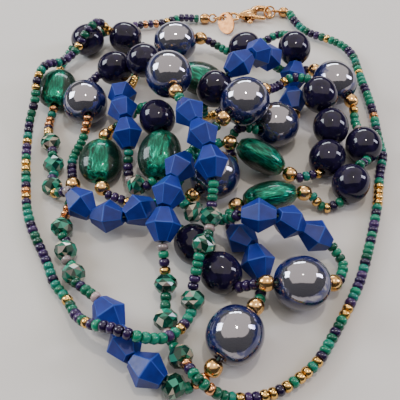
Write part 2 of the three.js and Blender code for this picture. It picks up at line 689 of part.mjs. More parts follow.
// One piece: housing, rivet, hook and tail, with a pocket for the lever that is open below and ahead
function claspBody() {
  const [x, y] = PIVOT
  const far = GATE_LONG + LEVER_GAP
  const beside = HUB_R + HUB_SIDE_GAP
  const sweep = band(PIVOT, 0, far, GATE_TURN - SHUT_SPARE, GATE_TURN + GATE_SWING + OPEN_SPARE, 8)
  const pocket = outline([[x - beside, y - far], [x + far, y - far], [x + far, y + beside], [x - beside, y + beside]])
  const neck = outline([[EYE_R, -TAIL_WIDE], [NECK_AT, -NECK_WIDE / 2], [NECK_AT, NECK_WIDE / 2], [EYE_R, TAIL_WIDE]])
  const tail = plate(disc([0, 0], EYE_R + TAIL_WIDE), ARM_THICK).add(plate(neck, ARM_THICK))
  const hook = plate(band(HOOK_AT, HOOK_R, HOOK_R + HOOK_WIDE, HOOK_FROM, HOOK_TO, 12), ARM_THICK)
    .subtract(plate(sweep, CLASP_THICK * 2))
  const rivet = plate(disc(PIVOT, RIVET_R, 10), CLASP_THICK - 2 * RIVET_INSET)
  const body = plate(housing(), CLASP_THICK, 4).subtract(plate(pocket, LEVER_THICK + 2 * LEVER_GAP))
  return geometryOf(body.add(rivet).add(hook).add(tail).subtract(plate(disc([0, 0], EYE_R), CLASP_THICK * 2)))
}

// A bar from the pivot, pointing the given way
function leverArm(degrees, long, wide) {
  const pivot = new THREE.Vector2(...PIVOT)
  const along = new THREE.Vector2(Math.cos(degToRad(degrees)), Math.sin(degToRad(degrees)))
  const across = new THREE.Vector2(-along.y, along.x).multiplyScalar(wide / 2)
  const end = pivot.clone().addScaledVector(along, long)
  const bar = new THREE.Shape([pivot.clone().sub(across), end.clone().sub(across), end.clone().add(across),
    pivot.clone().add(across)])
  return { end, solid: plate(bar, LEVER_THICK) }
}

// The lever: a gate whose end is round about the pivot, a hub on the rivet and a thumb tab
function leverBody() {
  const gate = leverArm(GATE_TURN, 2 * GATE_LONG, GATE_WIDE).solid
    .intersect(plate(disc(PIVOT, GATE_LONG, 40), LEVER_THICK * 2))
  const thumb = leverArm(GATE_TURN + THUMB_TURN, HUB_R + THUMB_LONG, THUMB_WIDE)
  return geometryOf(gate.add(plate(disc(PIVOT, HUB_R, 12), LEVER_THICK))
    .add(thumb.solid).add(plate(disc(thumb.end.toArray(), THUMB_R, 10), LEVER_THICK))
    .subtract(plate(disc(PIVOT, RIVET_R + LEVER_GAP, 12), LEVER_THICK * 2)))
}

// A round link of wire, turned to its way and lean
function linkGeometry({ at, way, radius, lean }, sides = 14) {
  const wire = [...Array(6).keys()].map((k) => 2 * Math.PI * k / 6)
    .map((turn) => [radius + WIRE_D / 2 * Math.cos(turn), WIRE_D / 2 * Math.sin(turn)])
  const axis = way.clone().cross(leaning(way, lean))
  return onto(turned(wire, sides), at.clone().sub(axis), at.clone().add(axis), way)
}

// A ball on the strand's end, with the ring that joins it to the last link
function capGeometry({ ring, ball }) {
  const half = CAP_D / 2
  const turns = 6
  const round = [...Array(turns + 1).keys()].map((k) => Math.PI * k / turns)
    .map((turn) => new THREE.Vector2(half * Math.sin(turn), -half * Math.cos(turn)))
  const knob = onto(new THREE.LatheGeometry(round, 10), ball.clone().sub(ring.way), ball.clone().add(ring.way))
  return geometryOf(solidOf(knob).add(solidOf(linkGeometry(ring, 10))))
}

// The blank tag hangs on the larger link and leans down to the floor
function tagGeometry() {
  const { at, way, lean } = linkLeft1
  const turn = degToRad(TAG_HANGS_AT)
  const wire = at.clone().addScaledVector(way, TAG_LINK_R * Math.cos(turn))
    .addScaledVector(leaning(way, lean), TAG_LINK_R * Math.sin(turn))
  const down = vec(TAG_DOWN).normalize()
  const oval = new THREE.Shape()
  oval.absellipse(0, -TAG_LONG / 2 + TAG_HOLE_R + TAG_RIM, TAG_WIDE / 2, TAG_LONG / 2, 0, 2 * Math.PI)
  const raised = (shape, thick) => solidOf(new THREE.ExtrudeGeometry(shape, { depth: thick, bevelEnabled: false })
    .translate(0, 0, -thick / 2))
  const cut = raised(new THREE.Shape(oval.getPoints(18).slice(0, -1)), TAG_THICK)
    .subtract(raised(disc([0, 0], TAG_HOLE_R, 12), 3 * TAG_THICK))
  const hang = wire.clone().addScaledVector(down, TAG_SLACK)
  return onto(geometryOf(cut), hang.clone().add(down), hang.clone().sub(down), vec(TAG_FACE))
}

const inPlace = (geometry) => geometry.applyMatrix4(claspFrame)
add('clasp_body', inPlace(claspBody()), goldMetal)
add('clasp_lever', inPlace(leverBody()), goldMetal)
add('link_left_2', linkGeometry(linkLeft2), goldMetal)
add('link_left_1', linkGeometry(linkLeft1), goldMetal)
add('link_right', linkGeometry(linkRight), goldMetal)
add('cap_left', capGeometry(leftCap), goldMetal)
add('cap_right', capGeometry(rightCap), goldMetal)
add('tag', tagGeometry(), goldMetal)

// The origin is the middle of the heap, on the floor
const box = new THREE.Box3().setFromObject(group)
group.position.set(-(box.min.x + box.max.x) / 2, -(box.min.y + box.max.y) / 2, -box.min.z)

export default group
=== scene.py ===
# %% [markdown]
# # A heap of strung glass beads
# The real object is one very long string of glass beads, dropped in a heap and closed with a lobster
# clasp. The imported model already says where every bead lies. This lesson reads the string's line from it
# and dresses each piece: smooth lathe-turned beads, cut bicones, foil ovals, seed beads and the clasp.

# %% Load the frame
import json
import math
import random

import bmesh
import bpy
import numpy as np
from mathutils import Matrix, Vector


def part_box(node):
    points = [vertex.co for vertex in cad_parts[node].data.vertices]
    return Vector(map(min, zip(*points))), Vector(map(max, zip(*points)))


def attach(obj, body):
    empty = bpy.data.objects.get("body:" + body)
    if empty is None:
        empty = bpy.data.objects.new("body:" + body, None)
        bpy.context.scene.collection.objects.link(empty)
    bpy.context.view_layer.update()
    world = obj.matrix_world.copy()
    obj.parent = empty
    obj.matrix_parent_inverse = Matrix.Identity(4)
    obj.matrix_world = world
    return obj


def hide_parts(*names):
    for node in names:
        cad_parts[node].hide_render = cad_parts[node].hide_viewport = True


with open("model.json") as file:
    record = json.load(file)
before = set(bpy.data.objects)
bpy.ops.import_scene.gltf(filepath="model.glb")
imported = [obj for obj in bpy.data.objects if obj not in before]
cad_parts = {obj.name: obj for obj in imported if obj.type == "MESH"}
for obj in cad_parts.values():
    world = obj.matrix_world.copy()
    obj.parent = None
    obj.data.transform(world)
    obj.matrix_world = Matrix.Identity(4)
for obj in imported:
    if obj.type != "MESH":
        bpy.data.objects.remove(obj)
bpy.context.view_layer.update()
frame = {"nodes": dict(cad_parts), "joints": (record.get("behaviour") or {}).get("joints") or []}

MM = 0.001
BODY = "necklace"
LEVER_BODY = "lever"
print("CAD nodes:", len(frame["nodes"]))

# %% [markdown]
# ## The camera
# The heap is seen from above and in front, by a lens about 18 cm away. A camera with that same
# elevation, distance and focal length shows the beads as the picture does. It comes first, so that each
# later piece can be judged through it.

# %% Camera
ELEVATION = math.radians(52)
DISTANCE = 177 * MM
SENSOR_WIDE = 36 # in the unit of Blender's focal lengths
FOCAL_IN_PIXELS = 654
IMAGE_PIXELS = 400
LOOK_AT = Vector((-0.97, -13.09, 0.05)) * MM


def make_camera():
    data = bpy.data.cameras.new("camera")
    data.sensor_width = SENSOR_WIDE
    data.lens = SENSOR_WIDE * FOCAL_IN_PIXELS / IMAGE_PIXELS
    data.clip_start = 5 * MM
    camera = bpy.data.objects.new("camera", data)
    bpy.context.scene.collection.objects.link(camera)
    back = Vector((0, -math.cos(ELEVATION), math.sin(ELEVATION)))
    camera.location = LOOK_AT + back * DISTANCE
    camera.rotation_mode = "QUATERNION"
    camera.rotation_quaternion = (-back).to_track_quat("-Z", "Y")
    bpy.context.scene.camera = camera
    return camera


camera = make_camera()
print("camera", [round(v / MM) for v in camera.location], "mm, lens", round(camera.data.lens, 1))

# %% [markdown]
# ## Reading the string's line
# Every strand node is a tube whose corners lie in rings of eight. Starting from the flat end and stepping
# outwards ring by ring gives the line of the string and its width at each ring. The width tells what is
# strung there: bare thread inside a large bead, a run of seed beads, a small gold bead or a crystal.

# %% Rings of a strand
RING_CORNERS = 8
MERGE = 0.01 * MM
SAME_WAY = 0.9999 # cosine between two faces that lie flat beside each other


def merged(node):
    """The node's mesh with its loose triangles joined"""
    mesh = bmesh.new()
    mesh.from_mesh(frame["nodes"][node].data)
    bmesh.ops.remove_doubles(mesh, verts=mesh.verts, dist=MERGE)
    mesh.verts.ensure_lookup_table()
    return mesh


def end_corners(mesh):
    """The corners of one flat end of the tube"""
    seen = {mesh.verts[0]}
    layer = list(seen)
    while layer:
        last = layer
        layer = [e.other_vert(v) for v in last for e in v.link_edges]
        layer = [v for v in dict.fromkeys(layer) if v not in seen]
        seen.update(layer)
    for face in last[0].link_faces:
        flat = {face}
        grow = [face]
        while grow:
            found = [g for f in grow for e in f.edges for g in e.link_faces]
            grow = [g for g in dict.fromkeys(found)
                    if g not in flat and g.normal.dot(face.normal) > SAME_WAY]
            flat.update(grow)
        corners = {v for f in flat for v in f.verts}
        if len(flat) == RING_CORNERS - 2 and len(corners) == RING_CORNERS:
            return corners
    raise ValueError("no flat end found")


def rings_of(node):
    """(centre, radius) of each ring of corners, from one end of the strand to the other"""
    mesh = merged(node)
    layer = end_corners(mesh)
    seen = set(layer)
    rings = []
    while layer:
        centre = sum((v.co for v in layer), Vector()) / len(layer)
        rings.append((centre, sum((v.co - centre).length for v in layer) / len(layer)))
        layer = {e.other_vert(v) for v in layer for e in v.link_edges} - seen
        seen |= layer
    mesh.free()
    return rings


def whole_line():
    """The rings of all strands in one line, without the ends inside the beads where strands meet"""
    names = sorted(n for n in frame["nodes"] if n.startswith("strand_"))
    low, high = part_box("cap_right")
    here = (low + high) / 2
    line = []
    for name in names:
        rings = rings_of(name)
        if (rings[-1][0] - here).length < (rings[0][0] - here).length:
            rings.reverse()
        here = rings[-1][0]
        line += rings[0 if name == names[0] else 1:None if name == names[-1] else -1]
    return line


LINE = whole_line()
print("rings on the line:", len(LINE))

# %% [markdown]
# ## Sorting the line into pieces
# Two thin rings in a row are the two ends of a large bead, and how far apart they are says which: an oval
# is longer than a lustre bead, and a bicone is the shortest. Four rings that swell are a small bead. What
# is left is a run of seed beads.

# %% Pieces on the line
THREAD_LIMIT = 0.6 * MM
SEED_RADIUS = 1.45 * MM
RADIUS_SLACK = 0.1 * MM
SWELL_LIMIT = 2.5 * MM # between a gold bead's radius and a crystal's
SWELL_RINGS = 4
LENGTHS = {"bicone": 8.9 * MM, "navy": 10.6 * MM, "lustre": 13.6 * MM, "oval": 14.6 * MM}


def sort_line(line):
    """Pieces in order along the string: (kind, points)"""
    pieces = []
    i = 0
    while i < len(line):
        at, radius = line[i]
        if radius < THREAD_LIMIT:
            if i + 1 < len(line) and line[i + 1][1] < THREAD_LIMIT:
                long = (line[i + 1][0] - at).length
                kind = min(LENGTHS, key=lambda k: abs(LENGTHS[k] - long))
                pieces.append((kind, [at, line[i + 1][0]]))
            i += 1
        elif abs(radius - SEED_RADIUS) < RADIUS_SLACK:
            points = []
            while i < len(line) and abs(line[i][1] - SEED_RADIUS) < RADIUS_SLACK:
                points.append(line[i][0])
                i += 1
            pieces.append(("run", points))
        else:
            kind = "gold" if line[i + 1][1] < SWELL_LIMIT else "crystal"
            pieces.append((kind, [line[i][0], line[i + SWELL_RINGS - 1][0]]))
            i += SWELL_RINGS
    return pieces


PIECES = sort_line(LINE)
COUNTS = {kind: sum(1 for k, _ in PIECES if k == kind) for kind in ("run", "gold", "crystal", *LENGTHS)}
print("on the string:", COUNTS)

# %% [markdown]
# ## Turning beads on a lathe
# A glass bead is wound or pressed round a wire, so it is a body of revolution with a hole. A closed
# profile turned about the hole's line gives it, and the same helper makes cut beads with few sides. Each
# bead also keeps its own coordinates in an attribute, so that a pattern can follow the bead.

# %% Lathe and placing
NEARLY_ALONG = 0.95 # cosine past which a way is too near the string's to turn a bead by


def turned(profile, sides, smooth=True):
    """A closed profile of (radius, along) turned about Z, in metres, with its faces pointing out"""
    corners = []
    for k in range(sides):
        turn = 2 * math.pi * k / sides
        corners += [(r * math.cos(turn), r * math.sin(turn), z) for r, z in profile]
    n = len(profile)
    faces = []
    for k in range(sides):
        a, b = k * n, (k + 1) % sides * n
        faces += [(a + i, b + i, b + (i + 1) % n, a + (i + 1) % n) for i in range(n)]
    mesh = bpy.data.meshes.new("turned")
    mesh.from_pydata(corners, [], faces)
    mesh.polygons.foreach_set("use_smooth", [smooth] * len(faces))
    mesh.validate()
    return mesh


def bead_profile(radius, half, hole, steps, lip, power=2.0):
    """From hole to hole along a rounded outside, and back through the hole"""
    profile = [(hole, -half + lip)]
    for k in range(steps + 1):
        turn = math.pi * k / steps
        swell = math.sin(turn) ** (2 / power)
        along = -math.cos(turn)
        across = hole + lip + (radius - hole - lip) * swell
        profile.append((across, half * math.copysign(abs(along) ** (2 / power), along)))
    return profile + [(hole, half - lip)]


def placed(start, end, spin=0.0, face=None):
    """The matrix that carries a bead from the lathe onto the string"""
    z = (end - start).normalized()
    toward = Vector(face) if face is not None else Vector((0, 0, 1))
    if abs(toward.normalized().dot(z)) > NEARLY_ALONG:
        toward = Vector((1, 0, 0))
    y = (toward - z * toward.dot(z)).normalized()
    x = y.cross(z)
    basis = Matrix((x, y, z)).transposed().to_4x4()
    return Matrix.Translation((start + end) / 2) @ basis @ Matrix.Rotation(spin, 4, "Z")


def keep_local(mesh):
    """Stores the bead's own coordinates in millimetres, before it is placed"""
    attribute = mesh.attributes.new("local", "FLOAT_VECTOR", "POINT")
    attribute.data.foreach_set("vector", [c / MM for v in mesh.vertices for c in v.co])


def piece(name, mesh, material, body, nodes=()):
    """A finished piece: its place is in its mesh, and it rides on its body"""
    mesh.name = name
    mesh.materials.clear()
    mesh.materials.append(material)
    obj = bpy.data.objects.new(name, mesh)
    bpy.context.scene.collection.objects.link(obj)
    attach(obj, body)
    if nodes:
        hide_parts(*nodes)
    return obj


def evaluated(obj):
    """The object's mesh with its modifiers applied"""
    depsgraph = bpy.context.evaluated_depsgraph_get()
    return bpy.data.meshes.new_from_object(obj.evaluated_get(depsgraph))


# %% [markdown]
# ## Building materials
# Every finish is a Principled shader whose fixed numbers are set on its own sockets. Only what really
# varies over a surface, such as streaks in foil or the tint of one seed bead beside the next, comes from
# nodes. A small class keeps the wiring readable.

# %% Material helper
class Finish:
    """A material with one Principled shader and short ways to add nodes to it"""

    def __init__(self, name, **sockets):
        self.material = bpy.data.materials.new(name)
        self.material.use_nodes = True
        self.nodes = self.material.node_tree.nodes
        self.links = self.material.node_tree.links
        self.shader = self.nodes["Principled BSDF"]
        for key, value in sockets.items():
            self.shader.inputs[key.replace("_", " ")].default_value = value

    def node(self, kind, sockets=None, **settings):
        made = self.nodes.new(kind)
        for key, value in settings.items():
            setattr(made, key, value)
        for key, value in (sockets or {}).items():
            if isinstance(value, bpy.types.NodeSocket):
                self.links.new(value, made.inputs[key])
            else:
                made.inputs[key].default_value = value
        return made

    def attribute(self, name, output="Fac"):
        return self.node("ShaderNodeAttribute", attribute_name=name).outputs[output]

    def noise(self, where, scale, detail=3.0, **more):
        sockets = {"Vector": where, "Scale": scale, "Detail": detail, **more}
        return self.node("ShaderNodeTexNoise", sockets).outputs["Fac"]

    def ramp(self, value, stops):
        made = self.node("ShaderNodeValToRGB", {"Fac": value})
        elements = made.color_ramp.elements
        while len(elements) < len(stops):
            elements.new(0.5)
        for element, (position, color) in zip(elements, stops):
            element.position = position
            element.color = (*color, 1)
        return made.outputs["Color"]

    def span(self, value, low, high):
        """value from 0 to 1, stretched to run from low to high"""
        made = self.node("ShaderNodeMapRange", {"Value": value, "To Min": low, "To Max": high})
        return made.outputs["Result"]

    def math(self, operation, *values):
        return self.node("ShaderNodeMath", dict(enumerate(values)), operation=operation).outputs[0]

    def bump(self, height, strength, distance):
        made = self.node("ShaderNodeBump", {"Height": height, "Strength": strength, "Distance": distance})
        self.links.new(made.outputs["Normal"], self.shader.inputs["Normal"])

    def set(self, socket, value):
        self.links.new(value, self.shader.inputs[socket])


def spot(finish):
    """Where on the object a point is, for patterns that need not follow a bead"""
    return finish.node("ShaderNodeTexCoord").outputs["Object"]


# %% [markdown]
# ## Floor and light
# A plain pale floor and soft lamps. The beads are nearly all gloss, so the lamps are also what they
# mirror: a broad dim panel overhead, two upright panels like windows at the sides, one behind, and a
# small bright lamp that gives each bead its hard little highlight.

# %% Studio
FLOOR_WIDE = 12.0
FLOOR_COLOR = (0.66, 0.645, 0.62, 1)
ROOM_COLOR = (0.5, 0.53, 0.62, 1)
ROOM_STRENGTH = 0.12


def make_floor():
    half = FLOOR_WIDE / 2
    mesh = bpy.data.meshes.new("floor")
    corners = [(-half, -half, 0), (half, -half, 0), (half, half, 0), (-half, half, 0)]
    mesh.from_pydata(corners, [], [(0, 1, 2, 3)])
    finish = Finish("floor_paper", Base_Color=FLOOR_COLOR, Roughness=0.9)
    finish.bump(finish.noise(spot(finish), 900.0), 0.05, 0.2 * MM)
    mesh.materials.append(finish.material)
    floor = bpy.data.objects.new("floor", mesh)
    bpy.context.scene.collection.objects.link(floor)


def panel(name, at, wide, tall, power, color):
    """A soft lamp that looks at the middle of the heap"""
    data = bpy.data.lights.new(name, "AREA")
    data.shape = "RECTANGLE"
    data.size = wide
    data.size_y = tall
    data.energy = power
    data.color = color
    lamp = bpy.data.objects.new(name, data)
    bpy.context.scene.collection.objects.link(lamp)
    lamp.location = at
    lamp.rotation_mode = "QUATERNION"
    lamp.rotation_quaternion = (LOOK_AT - Vector(at)).to_track_quat("-Z", "Y")


WARM = (1.0, 0.9, 0.8)
COOL = (0.86, 0.93, 1.0)
VIOLET = (0.82, 0.8, 1.0)
make_floor()
panel("ceiling", (0.0, 0.2, 0.72), 2.0, 1.7, 12.0, WARM)
panel("window_left", (-0.62, 0.2, 0.36), 0.3, 0.3, 4.2, COOL)
panel("window_right", (0.66, 0.1, 0.34), 0.14, 0.34, 2.6, VIOLET)
panel("window_back", (0.0, 0.8, 0.4), 0.5, 0.12, 2.6, COOL)
panel("lamp", (0.06, 0.0, 0.6), 0.022, 0.022, 0.9, WARM)


def make_world():
    world = bpy.data.worlds.new("room")
    world.use_nodes = True
    background = world.node_tree.nodes["Background"]
    background.inputs["Color"].default_value = ROOM_COLOR
    background.inputs["Strength"].default_value = ROOM_STRENGTH
    bpy.context.scene.world = world


make_world()

# %% [markdown]
# ## Large lustre beads
# Navy glass with a silvery film, so part of each bead mirrors the room like steel and the rest is dark
# glass.
# The film lies on the side of every bead that faces up, in warm grey: a painted reflection of the overhead
# panel. An attribute holds how far up a point lies on its bead, and slow noise makes the film's edge
# wander.

# %% Lustre beads
ROUND_SIDES = 48
ROUND_STEPS = 24
HOLE = 0.85 * MM
LIP = 0.25 * MM
LUSTRE_RADIUS = 6.5 * MM
NAVY_RADIUS = 5.0 * MM
# Every bead's film faces this way, upwards: a painted reflection of the overhead panel.
PAINTED_REFLECTION_UP = Vector((0, -0.35, 0.94)) # the way that the filmed sides face


def lustre_finish():
    finish = Finish("lustre_film_and_painted_reflection", Roughness=0.06, IOR=1.7, Coat_Weight=0.5, Coat_Roughness=0.02)
    local = finish.attribute("local", "Vector")
    patch = finish.span(finish.noise(local, 0.3, 3.0, Distortion=0.6), -0.45, 0.45)
    edge = finish.math("ADD", finish.attribute("above"), patch)
    # Painted reflection: the upper side of each bead turns warm grey and metallic, like the mirrored
    # ceiling.
    finish.set("Base Color", finish.ramp(edge, [(0.5, (0.005, 0.008, 0.06)), (0.64, (0.04, 0.05, 0.17)),
                                                (0.76, (0.34, 0.33, 0.37))]))
    finish.set("Metallic", finish.ramp(edge, [(0.5, (0.05, 0.05, 0.05)), (0.74, (0.85, 0.85, 0.85))]))
    finish.bump(finish.noise(local, 0.9, 2.0), 0.1, 0.3 * MM)
    return finish.material


def kept(kind):
    """The two ends of each piece of one kind, in order"""
    return [points for k, points in PIECES if k == kind]


def round_beads(kind, prefix, radius, material):
    chooser = random.Random(kind)
    profile = bead_profile(radius, radius, HOLE, ROUND_STEPS, LIP)
    for number, (start, end) in enumerate(kept(kind), 1):
        mesh = turned(profile, ROUND_SIDES)
        keep_local(mesh)
        mesh.transform(placed(start, end, chooser.uniform(0, math.tau)))
        middle = (start + end) / 2
        # How far up each point lies, which puts the painted reflection on the bead's upper side.
        above = mesh.attributes.new("above", "FLOAT", "POINT")
        above.data.foreach_set("value", [(v.co - middle).dot(PAINTED_REFLECTION_UP) / radius for v in mesh.vertices])
        node = f"{prefix}_{number:02d}"
        piece(f"{kind}_glass_{number:02d}", mesh, material, BODY, [node])


round_beads("lustre", "lustre_bead", LUSTRE_RADIUS, lustre_finish())

# %% [markdown]
# ## Navy beads
# The plain glossy rounds have no film. They are nearly black with a blue-violet depth, and only sharp
# small highlights show on them, so this is bare glass, very smooth, with hardly any bump.

# %% Navy beads
def navy_finish():
    finish = Finish("navy_glass", Roughness=0.05, IOR=1.45)
    local = finish.attribute("local", "Vector")
    finish.set("Base Color", finish.ramp(finish.noise(local, 0.4), [(0.3, (0.004, 0.003, 0.014)),
                                                                   (0.7, (0.014, 0.009, 0.042))]))
    finish.bump(finish.noise(local, 1.4, 2.0), 0.05, 0.2 * MM)
    return finish.material


round_beads("navy", "navy_bead", NAVY_RADIUS, navy_finish())

# %% [markdown]
# ## Foil ovals
# Flattened ovals of dark emerald glass with a strip of crumpled foil in the middle. The foil glitters in
# streaks that run along the bead, the glass beside it is nearly black, and the surface is smooth. One
# shader can do all three: a base that is metallic on the strip alone, under a clear coat.

# %% Foil ovals
OVAL_HALF = 7.0 * MM
OVAL_WIDE = 6.0 * MM
OVAL_THICK = 4.0 * MM
FLATTENING = 3 # how soon the flattening is full, from the hole outwards
UPWARD = Vector((0, -0.5, 0.86)) # the way that the beads' best sides face


def foil_finish():
    finish = Finish("emerald_foil", Roughness=0.28, IOR=1.25, Coat_Weight=0.5, Coat_Roughness=0.02)
    local = finish.attribute("local", "Vector")
    along = finish.node("ShaderNodeMapping", {"Vector": local, "Scale": (1.0, 1.0, 0.3)})
    crumple = finish.noise(along.outputs["Vector"], 0.8, 6.0, Distortion=1.2)
    green = finish.ramp(crumple, [(0.3, (0.0, 0.02, 0.013)), (0.46, (0.0, 0.11, 0.065)),
                                  (0.6, (0.001, 0.25, 0.15)), (0.74, (0.02, 0.55, 0.34))])
    wander = finish.span(finish.noise(local, 0.25), -0.2, 0.2)
    distance = finish.math("ABSOLUTE", finish.math("ADD", finish.attribute("across"), wander))
    strip = finish.ramp(distance, [(0.36, (1, 1, 1)), (0.5, (0.03, 0.03, 0.03))])
    # Painted glints: bright green dots in the base colour, on the foil and on the dark glass beside it.
    grains = finish.node("ShaderNodeTexVoronoi", {"Vector": local, "Scale": 3.4})
    painted_glint = finish.ramp(grains.outputs["Distance"], [(0.06, (1, 1, 1)), (0.13, (0, 0, 0))])
    mix = finish.node("ShaderNodeMix", {"Factor": strip}, data_type="RGBA")
    mix.inputs["A"].default_value = (0.002, 0.014, 0.008, 1)
    finish.links.new(green, mix.inputs["B"])
    with_painted_glints = finish.node("ShaderNodeMix", {"Factor": painted_glint}, data_type="RGBA")
    finish.links.new(mix.outputs["Result"], with_painted_glints.inputs["A"])
    with_painted_glints.inputs["B"].default_value = (0.12, 0.75, 0.42, 1)
    finish.set("Base Color", with_painted_glints.outputs["Result"])
    finish.set("Metallic", finish.ramp(strip, [(0.0, (0.0, 0.0, 0.0)), (1.0, (0.75, 0.75, 0.75))]))
    finish.bump(crumple, 0.6, 0.5 * MM)
    return finish.material


def flat_way(node):
    """The direction in which a node is thinnest"""
    mesh = merged(node)
    points = np.array([v.co for v in mesh.verts])
    mesh.free()
    _, ways = np.linalg.eigh(np.cov((points - points.mean(0)).T))
    return Vector(ways[:, 0])


def foil_ovals(material):
    profile = bead_profile(OVAL_WIDE, OVAL_HALF, HOLE, ROUND_STEPS, LIP)
    for number, (start, end) in enumerate(kept("oval"), 1):
        node = f"foil_oval_{number:02d}"
        mesh = turned(profile, ROUND_SIDES)
        keep_local(mesh)
        for corner in mesh.vertices:
            outside = (math.hypot(corner.co.x, corner.co.y) - HOLE - LIP) / (OVAL_WIDE - HOLE - LIP)
            share = min(max(outside * FLATTENING, 0), 1)
            corner.co.y *= 1 - share * (1 - OVAL_THICK / OVAL_WIDE)
        mesh.transform(placed(start, end, face=flat_way(node)))
        middle = (start + end) / 2
        side = (end - start).cross(UPWARD).normalized()
        across = mesh.attributes.new("across", "FLOAT", "POINT")
        across.data.foreach_set("value", [(v.co - middle).dot(side) / OVAL_WIDE for v in mesh.vertices])
        piece(f"foil_glass_{number:02d}", mesh, material, BODY, [node])


foil_ovals(foil_finish())

# %% [markdown]
# ## Cobalt bicones
# Pressed six-sided double cones, opaque satin blue. Their flat faces each catch the light differently,
# and their edges show as thin pale lines, partly wear and partly a painted highlight. The bevel makes the
# edges real, and the narrow bevel faces carry an attribute that paints them lighter.

# %% Bicones
BICONE_SIDES = 6
BICONE_RADIUS = 4.4 * MM
BICONE_HALF = 4.2 * MM
BICONE_TIP = 2.0 * MM
END_GAP = 0.3 * MM
EDGE_WIDE = 0.16 * MM
EDGE_ANGLE = 25 # degrees
SMALL_FACE = 1.0 * MM * MM
WAIST = 0.1 * MM
BICONE_SPINS = (-14, -6, 0, 5, 12) # degrees


def cobalt_finish():
    finish = Finish("cobalt_satin", IOR=1.4)
    where = spot(finish)
    cloud = finish.noise(where, 260.0, 3.0)
    body = finish.ramp(cloud, [(0.3, (0.002, 0.012, 0.15)), (0.7, (0.004, 0.026, 0.27))])
    # Wear and painted highlight: the bevel faces are a lighter blue.
    mix = finish.node("ShaderNodeMix", {"Factor": finish.attribute("edge")}, data_type="RGBA")
    finish.links.new(body, mix.inputs["A"])
    mix.inputs["B"].default_value = (0.02, 0.07, 0.38, 1)
    finish.set("Base Color", mix.outputs["Result"])
    finish.set("Roughness", finish.span(finish.noise(where, 900.0), 0.3, 0.48))
    finish.bump(finish.noise(where, 2500.0), 0.06, 0.1 * MM)
    return finish.material


def bevelled(mesh, width, segments=2, angle=EDGE_ANGLE):
    """The mesh with its sharp edges rounded off"""
    holder = bpy.data.objects.new("holder", mesh)
    bpy.context.scene.collection.objects.link(holder)
    bevel = holder.modifiers.new("bevel", "BEVEL")
    bevel.width = width
    bevel.segments = segments
    bevel.limit_method = "ANGLE"
    bevel.angle_limit = math.radians(angle)
    result = evaluated(holder)
    bpy.data.objects.remove(holder)
    return result


def cut_bicone():
    """One bicone about Z, with bevelled edges that are marked in the attribute edge"""
    profile = [(HOLE, -BICONE_HALF), (BICONE_TIP, -BICONE_HALF), (BICONE_RADIUS, -WAIST),
               (BICONE_RADIUS, WAIST), (BICONE_TIP, BICONE_HALF), (HOLE, BICONE_HALF)]
    mesh = bevelled(turned(profile, BICONE_SIDES, smooth=False), EDGE_WIDE)
    edge = mesh.attributes.new("edge", "FLOAT", "FACE")
    edge.data.foreach_set("value", [float(p.area < SMALL_FACE) for p in mesh.polygons])
    return mesh


def bicone_groups():
    """Neighbouring bicones, as one list of (start, end) for each CAD run"""
    groups = []
    before = None
    for kind, points in PIECES:
        if kind == "bicone":
            if before != "bicone":
                groups.append([])
            groups[-1].append(points)
        before = kind
    return groups


def joined(meshes, name):
    """One mesh from several"""
    whole = bmesh.new()
    for mesh in meshes:
        whole.from_mesh(mesh)
    result = bpy.data.meshes.new(name)
    whole.to_mesh(result)
    whole.free()
    return result


def bicones(material):
    chooser = random.Random("bicone")
    pattern = cut_bicone()
    for number, group in enumerate(bicone_groups(), 1):
        meshes = []
        for place, (start, end) in enumerate(group):
            along = (end - start).normalized()
            lead = END_GAP if place == 0 else 0
            trail = END_GAP if place == len(group) - 1 else 0
            mesh = pattern.copy()
            spin = math.radians(chooser.choice(BICONE_SPINS))
            mesh.transform(placed(start + along * lead, end - along * trail, spin, UPWARD))
            meshes.append(mesh)
        run = joined(meshes, "run")
        piece(f"bicones_{number:02d}", run, material, BODY, [f"bicone_run_{number:02d}"])


bicones(cobalt_finish())
print("bicone runs:", len(bicone_groups()))

# %% [markdown]
# ## Stringing small beads with Geometry Nodes
# Hundreds of small beads follow the string. Each kind is one mesh of points that carry which way the
# string runs, how large the bead is, how far it is spun and its tint. A node tree puts one small bead on
# every point, makes the copies real and gives them their finish, and the result is kept as a plain mesh.

